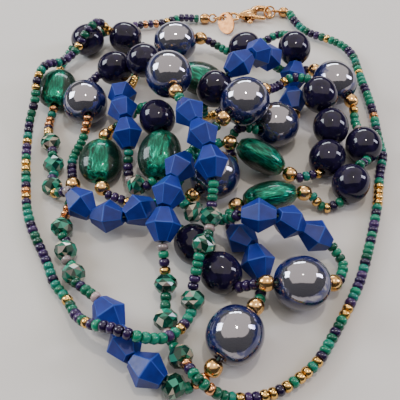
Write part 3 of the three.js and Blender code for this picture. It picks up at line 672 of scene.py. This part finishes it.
# %% The stringing tree
def stringing_tree():
    tree = bpy.data.node_groups.new("stringing", "GeometryNodeTree")
    for name, kind in (("Places", "Geometry"), ("Bead", "Object"), ("Finish", "Material")):
        tree.interface.new_socket(name, in_out="INPUT", socket_type="NodeSocket" + kind)
    tree.interface.new_socket("Beads", in_out="OUTPUT", socket_type="NodeSocketGeometry")
    add = tree.nodes.new
    link = tree.links.new
    start = add("NodeGroupInput")
    end = add("NodeGroupOutput")
    info = add("GeometryNodeObjectInfo")
    link(start.outputs["Bead"], info.inputs["Object"])

    def named(name, kind):
        read = add("GeometryNodeInputNamedAttribute")
        read.data_type = kind
        read.inputs["Name"].default_value = name
        return read.outputs["Attribute"]

    aim = add("FunctionNodeAlignRotationToVector")
    aim.axis = "Z"
    link(named("along", "FLOAT_VECTOR"), aim.inputs["Vector"])
    spin = add("FunctionNodeAxisAngleToRotation")
    spin.inputs["Axis"].default_value = (0, 0, 1)
    link(named("spin", "FLOAT"), spin.inputs["Angle"])
    spun = add("FunctionNodeRotateRotation")
    spun.rotation_space = "LOCAL"
    link(aim.outputs["Rotation"], spun.inputs["Rotation"])
    link(spin.outputs["Rotation"], spun.inputs["Rotate By"])
    put = add("GeometryNodeInstanceOnPoints")
    link(start.outputs["Places"], put.inputs["Points"])
    link(info.outputs["Geometry"], put.inputs["Instance"])
    link(spun.outputs["Rotation"], put.inputs["Rotation"])
    link(named("size", "FLOAT_VECTOR"), put.inputs["Scale"])
    real = add("GeometryNodeRealizeInstances")
    link(put.outputs["Instances"], real.inputs["Geometry"])
    dress = add("GeometryNodeSetMaterial")
    link(real.outputs["Geometry"], dress.inputs["Geometry"])
    link(start.outputs["Finish"], dress.inputs["Material"])
    link(dress.outputs["Geometry"], end.inputs["Beads"])
    return tree


STRINGING = stringing_tree()
PLACE_DATA = {"along": ("FLOAT_VECTOR", "vector"), "size": ("FLOAT_VECTOR", "vector"),
              "spin": ("FLOAT", "value"), "tint": ("FLOAT", "value")}


def strung(name, bead_mesh, places, material, nodes=()):
    """A plain mesh of one bead at all places, each a dictionary of at, along, size, spin and tint"""
    points = bpy.data.meshes.new("places")
    points.from_pydata([p["at"] for p in places], [], [])
    for key, (kind, field) in PLACE_DATA.items():
        values = [p[key] for p in places]
        if kind == "FLOAT_VECTOR":
            values = [c for v in values for c in v]
        points.attributes.new(key, kind, "POINT").data.foreach_set(field, values)
    bead = bpy.data.objects.new("bead", bead_mesh)
    holder = bpy.data.objects.new("holder", points)
    bpy.context.scene.collection.objects.link(holder)
    modifier = holder.modifiers.new("stringing", "NODES")
    modifier.node_group = STRINGING
    for socket in STRINGING.interface.items_tree:
        if socket.name == "Bead":
            modifier[socket.identifier] = bead
        elif socket.name == "Finish":
            modifier[socket.identifier] = material
    mesh = evaluated(holder)
    bpy.data.objects.remove(holder)
    bpy.data.objects.remove(bead)
    for key in ("along", "size", "spin"):
        mesh.attributes.remove(mesh.attributes[key])
    return piece(name, mesh, material, BODY, nodes)


# %% [markdown]
# ## The thread
# The string itself shows in the gaps between beads. A thin tube follows the whole line. The rings lie at
# uneven distances, so each stretch of the curve between two of them leaves and arrives with a slope that
# is scaled to its own length. Otherwise the thread would curl beside every bead.

# %% Thread
THREAD_RADIUS = 0.28 * MM
THREAD_SIDES = 6
SMOOTH_STEPS = 4
THREAD_STEPS = 2


def smooth_path(points, steps=SMOOTH_STEPS):
    """A curve through the points, whose direction at each comes from both of its neighbours"""
    kept_points = [p for i, p in enumerate(points) if i == 0 or (p - points[i - 1]).length > MERGE]
    ends = [kept_points[0] * 2 - kept_points[1], *kept_points, kept_points[-1] * 2 - kept_points[-2]]
    path = []
    for a, b, c, d in zip(ends, ends[1:], ends[2:], ends[3:]):
        long = (c - b).length
        leave = (c - a) * (long / ((b - a).length + long))
        arrive = (d - b) * (long / ((d - c).length + long))
        for k in range(steps):
            t = k / steps
            path.append(b * (2 * t ** 3 - 3 * t ** 2 + 1) + c * (3 * t ** 2 - 2 * t ** 3)
                        + leave * (t ** 3 - 2 * t ** 2 + t) + arrive * (t ** 3 - t ** 2))
    return path + [kept_points[-1]]


def tube(path, radius, sides):
    """A closed tube along a path"""
    corners = []
    side = Vector((0, 0, 1))
    for i, at in enumerate(path):
        along = (path[min(i + 1, len(path) - 1)] - path[max(i - 1, 0)]).normalized()
        side = (side - along * side.dot(along)).normalized()
        other = along.cross(side)
        for k in range(sides):
            turn = 2 * math.pi * k / sides
            corners.append(at + radius * (side * math.cos(turn) + other * math.sin(turn)))
    faces = []
    for start in range(0, (len(path) - 1) * sides, sides):
        for k in range(sides):
            after = (k + 1) % sides
            faces.append((start + k, start + after, start + sides + after, start + sides + k))
    faces.append(tuple(reversed(range(sides))))
    faces.append(tuple(range(len(corners) - sides, len(corners))))
    mesh = bpy.data.meshes.new("tube")
    mesh.from_pydata(corners, [], faces)
    mesh.polygons.foreach_set("use_smooth", [True] * len(faces))
    return mesh


def thread_finish():
    finish = Finish("thread_fibre", Roughness=0.6)
    where = spot(finish)
    finish.set("Base Color", finish.ramp(finish.noise(where, 3000.0), [(0.3, (0.02, 0.05, 0.04)),
                                                                     (0.7, (0.05, 0.1, 0.08))]))
    return finish.material


strands = sorted(n for n in frame["nodes"] if n.startswith("strand_"))
thread_line = smooth_path([at for at, _ in LINE], THREAD_STEPS)
thread = tube(thread_line, THREAD_RADIUS, THREAD_SIDES)
piece("thread", thread, thread_finish(), BODY, strands)
length = sum((b - a).length for a, b in zip(thread_line, thread_line[1:]))
print("string length", round(length / MM), "mm")

# %% [markdown]
# ## Small gold rounds
# Brass beads beside each large bead. They are turned, polished and a little dented, so their mirror is
# warm and slightly uneven.

# %% Gold rounds
GOLD_RADIUS = 2.1 * MM
GOLD_HALF = 1.95 * MM
GOLD_SIDES = 24
GOLD_STEPS = 10
SMALL_HOLE = 0.5 * MM
SMALL_LIP = 0.15 * MM
SMALL_SCALES = (0.96, 1.0)


def gold_finish(name="warm_gold", color=((0.64, 0.34, 0.1), (0.94, 0.58, 0.24)), roughness=0.2):
    finish = Finish(name, Metallic=1.0, Roughness=roughness)
    where = spot(finish)
    finish.set("Base Color", finish.ramp(finish.noise(where, 700.0), [(0.3, color[0]), (0.65, color[1])]))
    finish.set("Roughness", finish.span(finish.noise(where, 1500.0), roughness * 0.7, roughness * 1.4))
    finish.bump(finish.noise(where, 420.0, 2.0), 0.25, 0.25 * MM)
    return finish.material


GOLD = gold_finish()


def small_places(kind, seed):
    chooser = random.Random(seed)
    places = []
    for start, end in kept(kind):
        scale = chooser.uniform(*SMALL_SCALES)
        places.append({"at": (start + end) / 2, "along": (end - start).normalized(),
                       "size": (scale, scale, scale), "spin": chooser.uniform(0, math.tau),
                       "tint": chooser.random()})
    return places


gold_profile = bead_profile(GOLD_RADIUS, GOLD_HALF, SMALL_HOLE, GOLD_STEPS, SMALL_LIP)
gold_bead = turned(gold_profile, GOLD_SIDES)
strung("gold_rounds", gold_bead, small_places("gold", 3), GOLD)

# %% [markdown]
# ## Faceted crystals
# Small emerald crystals with a rainbow film, which tints neighbouring facets green, grey or cream. The
# bright cream and grey facets are partly the film's tint and partly painted flashes of light. The facets
# are flat faces of a many-cornered shape, and each face keeps a number that picks its colour.

# %% Crystals
CRYSTAL_RADIUS = 3.0 * MM
CRYSTAL_HALF = 2.2 * MM
CRYSTAL_SIDES = 8
CRYSTAL_RINGS = [(0.2, -1.0), (0.58, -1.0), (0.94, -0.42), (1.0, 0.0), (0.94, 0.42), (0.58, 1.0),
                 (0.2, 1.0)] # (across, along) as shares of the radius and the half length


def cut_crystal():
    """Rings of corners, each turned half a step from the last, joined by triangles"""
    chooser = random.Random("crystal")
    corners = []
    for index, (across, along) in enumerate(CRYSTAL_RINGS):
        shift = 0.5 * (index % 2)
        for k in range(CRYSTAL_SIDES):
            turn = 2 * math.pi * (k + shift) / CRYSTAL_SIDES
            radius = across * CRYSTAL_RADIUS
            corners.append((radius * math.cos(turn), radius * math.sin(turn), along * CRYSTAL_HALF))
    faces = []
    rings = len(CRYSTAL_RINGS)
    for index in range(rings - 1):
        low, high = index * CRYSTAL_SIDES, (index + 1) * CRYSTAL_SIDES
        for k in range(CRYSTAL_SIDES):
            after = (k + 1) % CRYSTAL_SIDES
            if index % 2:
                faces += [(low + k, low + after, high + after), (low + k, high + after, high + k)]
            else:
                faces += [(low + k, low + after, high + k), (low + after, high + after, high + k)]
    top, bottom = (rings - 1) * CRYSTAL_SIDES, 0
    faces += [(bottom + k, top + k, top + (k + 1) % CRYSTAL_SIDES, bottom + (k + 1) % CRYSTAL_SIDES)
              for k in range(CRYSTAL_SIDES)]
    mesh = bpy.data.meshes.new("crystal")
    mesh.from_pydata(corners, [], faces)
    flash = mesh.attributes.new("flash", "FLOAT", "FACE")
    flash.data.foreach_set("value", [chooser.random() for _ in faces])
    return mesh


def crystal_finish():
    finish = Finish("emerald_crystal", Roughness=0.04, Metallic=0.1, IOR=1.55, Coat_Weight=0.25)
    turn = finish.math("FRACT", finish.math("ADD", finish.attribute("flash"), finish.attribute("tint")))
    # Partly painted highlights: a share of the facets get bright cream and grey colours, as if they
    # flashed.
    finish.set("Base Color", finish.ramp(turn, [(0.0, (0.001, 0.02, 0.012)), (0.35, (0.003, 0.06, 0.036)),
                                               (0.6, (0.01, 0.16, 0.1)), (0.78, (0.05, 0.4, 0.27)),
                                               (0.85, (0.4, 0.36, 0.3)), (0.9, (0.75, 0.7, 0.52)),
                                               (0.94, (0.3, 0.24, 0.22)), (1.0, (0.002, 0.03, 0.02))]))
    return finish.material


strung("crystals", cut_crystal(), small_places("crystal", 5), crystal_finish())

# %% [markdown]
# ## Seed beads
# Over four hundred seed beads fill the runs. Their order was charted run by run, from the right
# end of the clasp: g green, p purple, y gold, o copper and w pale. The number of beads in a run follows
# its chart where a bead comes out at a real length, and otherwise the chart is stretched over the run.

# %% Charts of the runs
CHARTS = """
ggpgggpgygggppgggyggppggppogpgggppgppgyyygpgpgpggpgppggpyggpggpygygypyppyggoggpo
ggw gg ypggw gggg ppppygpgg ypggp gggg gggggp ggggp gpppppp gpgyp ygggggg gp wppgg wyyyggpyp
yyppgpgpygpppgpppgypyggpggppgyppgyyggpoypgggppggpppggpgggyggppgypgppppggggpgypgg
pg ggw pggg ggg pppgw oggp go gp wpg gpggw go gpgg pg gygpypg gpg wggggy pygggg gypg gpgyg
ppggg gpgpggp gpgpyg gpgg wpggy pg gp yypogo ygggg ggppgppgppopopypgpppg
""".split()
SEED_LONG = 1.8 * MM
SEED_SHORTEST = 1.6 * MM
SEED_LONGEST = 2.05 * MM
SEED_WEIGHTS = (0.88, 1.12) # how much one bead's length differs from the next
SEED_WIDTHS = (0.93, 1.0)
SEED_FILL = 0.97 # of its place along the thread
print("charts:", len(CHARTS), "runs:", COUNTS["run"])


def along_path(path, share):
    """Point and direction at a share of the path's length"""
    lengths = [(b - a).length for a, b in zip(path, path[1:])]
    left = share * sum(lengths)
    for a, b, long in zip(path, path[1:], lengths):
        if left <= long:
            return a.lerp(b, left / long), (b - a).normalized()
        left -= long
    return path[-1], (path[-1] - path[-2]).normalized()


def seed_places():
    """The places of all seed beads, by the letter of their kind"""
    chooser = random.Random(11)
    places = {}
    for number, (points, chart) in enumerate(zip(kept("run"), CHARTS), 1):
        path = smooth_path(points)
        long = sum((b - a).length for a, b in zip(path, path[1:]))
        count = len(chart)
        if not SEED_SHORTEST < long / count < SEED_LONGEST:
            count = max(1, round(long / SEED_LONG))
            print("run", number, round(long / MM, 1), "mm, chart", len(chart), "beads", count)
        weights = [chooser.uniform(*SEED_WEIGHTS) for _ in range(count)]
        done = 0.0
        for k, weight in enumerate(weights):
            share = weight / sum(weights)
            at, along = along_path(path, done + share / 2)
            done += share
            wide = chooser.uniform(*SEED_WIDTHS)
            letter = chart[int((k + 0.5) * len(chart) / count)]
            tall = share * long / SEED_LONG * SEED_FILL
            place = {"at": at, "along": along, "size": (wide, wide, tall),
                     "spin": chooser.uniform(0, math.tau), "tint": chooser.random()}
            places.setdefault(letter, []).append(place)
    return places


# %% [markdown]
# ## Finishes of the seed beads
# Green ones are opaque glass whose tint shifts from turquoise to grass green. Purple ones are dark with a
# bright gloss. Gold and copper ones are metal-lined, and the pale ones are pearly.

# %% Seed finishes
def green_seed():
    finish = Finish("seed_green", Roughness=0.14, IOR=1.42, Coat_Weight=0.3, Coat_Roughness=0.03)
    tint = finish.attribute("tint")
    finish.set("Base Color", finish.ramp(tint, [(0.0, (0.001, 0.06, 0.032)), (0.3, (0.002, 0.13, 0.07)),
                                               (0.7, (0.005, 0.24, 0.135)), (1.0, (0.003, 0.17, 0.14))]))
    finish.bump(finish.noise(spot(finish), 900.0), 0.1, 0.15 * MM)
    return finish.material


def purple_seed():
    finish = Finish("seed_purple", Roughness=0.12, IOR=1.5, Coat_Weight=0.15, Coat_Roughness=0.04)
    tint = finish.attribute("tint")
    finish.set("Base Color", finish.ramp(tint, [(0.0, (0.008, 0.003, 0.026)), (0.6, (0.02, 0.007, 0.06)),
                                               (1.0, (0.05, 0.02, 0.1))]))
    finish.bump(finish.noise(spot(finish), 900.0), 0.1, 0.15 * MM)
    return finish.material


def pale_seed():
    finish = Finish("seed_pale", Roughness=0.14, IOR=1.7, Coat_Weight=0.3, Coat_Roughness=0.04)
    tint = finish.attribute("tint")
    finish.set("Base Color", finish.ramp(tint, [(0.0, (0.2, 0.17, 0.17)), (1.0, (0.42, 0.31, 0.31))]))
    return finish.material


SEED_HALF = SEED_LONG / 2
SEED_SIDES = 9
SEED_STEPS = 4
SEED_HOLE = 0.45 * MM
SEED_SQUARENESS = 2.6 # 2 is an ellipse, and more is squarer
seed_profile = bead_profile(SEED_RADIUS, SEED_HALF, SEED_HOLE, SEED_STEPS, LIP, power=SEED_SQUARENESS)
seed_bead = turned(seed_profile, SEED_SIDES)
SEED_GOLD = ((0.6, 0.34, 0.07), (0.95, 0.6, 0.2))
SEED_COPPER = ((0.5, 0.2, 0.07), (0.85, 0.42, 0.2))
SEED_KINDS = {
    "g": ("seeds_green", green_seed(), "seed_glass"),
    "p": ("seeds_purple", purple_seed(), "seed_glass"),
    "y": ("seeds_gold", gold_finish("seed_gold", SEED_GOLD, 0.16), "gold_metal"),
    "o": ("seeds_copper", gold_finish("seed_copper", SEED_COPPER, 0.2), "gold_metal"),
    "w": ("seeds_pale", pale_seed(), "seed_glass"),
}
for letter, places in seed_places().items():
    name, material, slot_name = SEED_KINDS[letter]
    strung(name, seed_bead, places, material)
    print(name, len(places))

# %% [markdown]
# ## The clasp's cast parts
# The lobster clasp is cast and tumbled: the tail swells into a rounded housing, and the housing runs on
# into a thick hook. Chains of balls along those lines give the mass, a voxel remesh joins them into one
# skin, and a slot through the housing takes the lever. Everything is laid out from the lever's pivot, in
# millimetres.

# %% Modelling with balls
CLASP_TURN = math.radians(8)
CLASP_GOLD = gold_finish("clasp_gold", ((0.55, 0.27, 0.09), (0.82, 0.46, 0.18)), 0.24)
PIVOT_AT = Vector(frame["joints"][0]["pos_m"])
CAST_VOXEL = 0.11
SLOT_HALF = 0.8
SLOT_LOW = (-1.7, -6, -SLOT_HALF)
SLOT_HIGH = (6, 1.7, SLOT_HALF)
BODY_ROUNDS = 8 # of smoothing
CAST_ROUNDS = 4
FLATTER = 0.88
BALL_SPACING = 0.22 # as a share of the ball's radius


def ball_chain(stops, flatter=FLATTER):
    """Balls along a line of (x, y, radius) stops, in millimetres from the pivot"""
    made = bmesh.new()
    for (x0, y0, r0), (x1, y1, r1) in zip(stops, stops[1:]):
        count = max(2, round(math.hypot(x1 - x0, y1 - y0) / (BALL_SPACING * max(r0, r1))))
        for k in range(count + 1):
            t = k / count
            at = Vector((x0 + (x1 - x0) * t, y0 + (y1 - y0) * t, 0))
            radius = r0 + (r1 - r0) * t
            place = Matrix.Translation(at) @ Matrix.Diagonal((radius, radius, radius * flatter, 1))
            bmesh.ops.create_icosphere(made, subdivisions=3, radius=1, matrix=place)
    mesh = bpy.data.meshes.new("balls")
    made.to_mesh(mesh)
    made.free()
    return mesh


def arc(centre, radius, turns, widths):
    """(x, y, radius) stops along an arc, from a list of angles in degrees and the ball at each"""
    ways = [(math.cos(math.radians(turn)), math.sin(math.radians(turn))) for turn in turns]
    return [(centre[0] + radius * x, centre[1] + radius * y, w) for (x, y), w in zip(ways, widths)]


def skin(meshes, rounds, voxel=CAST_VOXEL):
    """One smooth closed surface round all the meshes"""
    holder = bpy.data.objects.new("holder", joined(meshes, "skin"))
    bpy.context.scene.collection.objects.link(holder)
    remesh = holder.modifiers.new("remesh", "REMESH")
    remesh.mode = "VOXEL"
    remesh.voxel_size = voxel
    smooth = holder.modifiers.new("smooth", "SMOOTH")
    smooth.iterations = rounds
    smooth.factor = 0.5
    result = evaluated(holder)
    bpy.data.objects.remove(holder)
    return result


def without_box(mesh, low, high):
    """The mesh with a box cut out of it"""
    block = bmesh.new()
    size = [h - l for l, h in zip(low, high)]
    middle = Vector([(l + h) / 2 for l, h in zip(low, high)])
    bmesh.ops.create_cube(block, size=1, matrix=Matrix.Translation(middle) @ Matrix.Diagonal((*size, 1)))
    block_mesh = bpy.data.meshes.new("block")
    block.to_mesh(block_mesh)
    block.free()
    cutter = bpy.data.objects.new("cutter", block_mesh)
    holder = bpy.data.objects.new("holder", mesh)
    bpy.context.scene.collection.objects.link(cutter)
    bpy.context.scene.collection.objects.link(holder)
    cut = holder.modifiers.new("cut", "BOOLEAN")
    cut.operation = "DIFFERENCE"
    cut.solver = "EXACT"
    cut.object = cutter
    result = evaluated(holder)
    bpy.data.objects.remove(cutter)
    bpy.data.objects.remove(holder)
    return result


def on_clasp(mesh, name, body, node):
    """Places a mesh that was modelled round the pivot in millimetres, and makes it a piece"""
    place = Matrix.Translation(PIVOT_AT) @ Matrix.Rotation(CLASP_TURN, 4, "Z") @ Matrix.Scale(MM, 4)
    mesh.transform(place)
    mesh.polygons.foreach_set("use_smooth", [True] * len(mesh.polygons))
    return piece(name, mesh, CLASP_GOLD, body, [node])


# %% Housing and hook
TAIL_AT = (-5.4, 0.9)
HOOK_AT = (4.2, 1.2)
HOOK_MIDDLE = 2.95
BACK = [(-3.9, 0.95, 0.8), (-2.6, 1.05, 1.15), (-1.0, 1.25, 1.7), (0.6, 1.5, 1.9), (1.5, 1.9, 1.5)]
BELLY = [(-3.0, 0.85, 0.8), (-1.4, 0.35, 1.4), (0.0, 0.1, 1.85), (1.0, 0.1, 1.5), (1.7, 0.0, 1.0)]
HOOK_TURNS = (150, 130, 110, 90, 60, 30, 0, -25, -41)
HOOK_BALLS = (1.25, 1.2, 1.12, 1.05, 1.0, 0.95, 0.88, 0.72, 0.55)
EYE_TURNS = range(0, 361, 20)
EYE_RADIUS = 1.75
EYE_BALL = 0.47


def clasp_housing():
    body = skin([ball_chain(BACK), ball_chain(BELLY)], BODY_ROUNDS)
    housing = without_box(body, SLOT_LOW, SLOT_HIGH)
    tail = ball_chain(arc(TAIL_AT, EYE_RADIUS, EYE_TURNS, [EYE_BALL] * len(EYE_TURNS)))
    hook = ball_chain(arc(HOOK_AT, HOOK_MIDDLE, HOOK_TURNS, HOOK_BALLS), flatter=1.1)
    rivet = ball_chain([(0, 0, 0.5), (0.05, 0, 0.5)], flatter=2.6)
    return on_clasp(skin([housing, tail, hook, rivet], CAST_ROUNDS), "clasp_housing", BODY, "clasp_body")


housing = clasp_housing()
print("clasp housing triangles", sum(len(p.vertices) - 2 for p in housing.data.polygons))

# %% Gate and thumb tab
GATE_WAY = math.radians(-17)
THUMB_WAY = math.radians(-97)
GATE_VOXEL = 0.09
GATE = ((0, 0.8), (2.0, 0.74), (4.0, 0.72), (4.95, 0.68)) # (distance from the pivot, ball)
THUMB = ((0.6, 0.6), (1.9, 0.55), (2.7, 0.95))


def clasp_gate():
    def outwards(way, stops):
        return [(far * math.cos(way), far * math.sin(way), radius) for far, radius in stops]

    gate = ball_chain(outwards(GATE_WAY, GATE))
    hub = ball_chain([(0, 0, 1.3), (0.05, 0, 1.3)], flatter=0.42)
    thumb = ball_chain(outwards(THUMB_WAY, THUMB), flatter=0.62)
    lever = skin([gate, hub, thumb], CAST_ROUNDS, GATE_VOXEL)
    return on_clasp(lever, "clasp_gate", LEVER_BODY, "clasp_lever")


clasp_gate()

# %% [markdown]
# ## Links, caps and tag
# Links are bent from round wire and have a fine seam where the ends meet. Each is measured from its node:
# its middle, its radius and the way that it faces. The caps are small balls that hide the string's knots.

# %% Wire links
WIRE_RADIUS = 0.3 * MM
LINK_STEPS = 64
LINK_SIDES = 12
SEAM = math.radians(4)
CAP_RADIUS = 1.7 * MM
CAP_GAP = 0.3 * MM
CAP_HOLE = 0.3 * MM
CAP_LIP = 0.1 * MM
CAP_STEPS = 16
CAP_SIDES = 32
CAP_RING_RADIUS = 1.25 * MM
CLEAR_OF_BALL = 1.12 # corners farther out than this many radii belong to the cap's ring
MANY_CORNERS = 40 # so many lie evenly enough for their mean to be the middle
SIDEWAYS = Vector((1, 0.3, 0.1)) # a way that no link's normal has


def wire_ring(centre, normal, radius, seam_at):
    """A ring of round wire, open by a hair where its ends meet"""
    normal = normal.normalized()
    side = SIDEWAYS.cross(normal).normalized()
    other = normal.cross(side)
    path = []
    for k in range(LINK_STEPS + 1):
        turn = seam_at + SEAM / 2 + (2 * math.pi - SEAM) * k / LINK_STEPS
        path.append(centre + radius * (side * math.cos(turn) + other * math.sin(turn)))
    return tube(path, WIRE_RADIUS, LINK_SIDES)


def fitted_ring(points):
    """Middle, normal and radius of the flat ring that the points lie round"""
    places = np.array(points)
    middle = places.mean(0) if len(points) > MANY_CORNERS else (places.min(0) + places.max(0)) / 2
    _, ways = np.linalg.eigh(np.cov((places - middle).T))
    flat = places - middle
    flat = flat - np.outer(flat @ ways[:, 0], ways[:, 0])
    return Vector(middle), Vector(ways[:, 0]), float(np.linalg.norm(flat, axis=1).mean())


def corners_of(node):
    mesh = merged(node)
    points = [v.co.copy() for v in mesh.verts]
    mesh.free()
    return points


for number, node in enumerate(("link_left_1", "link_left_2", "link_right")):
    middle, normal, radius = fitted_ring(corners_of(node))
    wire = wire_ring(middle, normal, radius, 1.0 + number)
    piece(node + "_wire", wire, CLASP_GOLD, BODY, [node])
    print(node, "radius", round(radius / MM, 2), "mm")


# %% Caps
def cap(node, string_end, seam_at):
    """A ball over the knot, with the ring that joins it to the last link"""
    points = corners_of(node)
    far = max(points, key=lambda p: (p - string_end).length)
    way = (far - string_end).normalized()
    ball = string_end + way * (CAP_GAP + CAP_RADIUS)
    ring_points = [p for p in points if (p - ball).length > CAP_RADIUS * CLEAR_OF_BALL]
    _, normal, _ = fitted_ring(ring_points)
    centre = ball + way * (CAP_RING_RADIUS + CAP_RADIUS - WIRE_RADIUS)
    shell = turned(bead_profile(CAP_RADIUS, CAP_RADIUS, CAP_HOLE, CAP_STEPS, CAP_LIP), CAP_SIDES)
    shell.transform(placed(ball - way, ball + way))
    mesh = joined([shell, wire_ring(centre, normal, CAP_RING_RADIUS, seam_at)], node)
    return piece(node + "_ball", mesh, CLASP_GOLD, BODY, [node])


cap("cap_right", LINE[0][0], 0.5)
cap("cap_left", LINE[-1][0], 2.0)

# %% [markdown]
# ## The blank tag
# A small oval of sheet metal hangs on the larger link. Its face is bare. It is stamped from sheet, so it
# has a thin rolled edge, and hand marks dull its polish.

# %% Tag
TAG_EDGE = 0.12 * MM


def stamped_tag():
    mesh = merged("tag")
    copy = bpy.data.meshes.new("tag_sheet")
    mesh.to_mesh(copy)
    mesh.free()
    copy.materials.clear()
    sheet = bevelled(copy, TAG_EDGE, segments=3, angle=40)
    sheet_gold = gold_finish("tag_gold", ((0.42, 0.17, 0.06), (0.6, 0.28, 0.11)), 0.42)
    return piece("tag_sheet", sheet, sheet_gold, BODY, ["tag"])


stamped_tag()
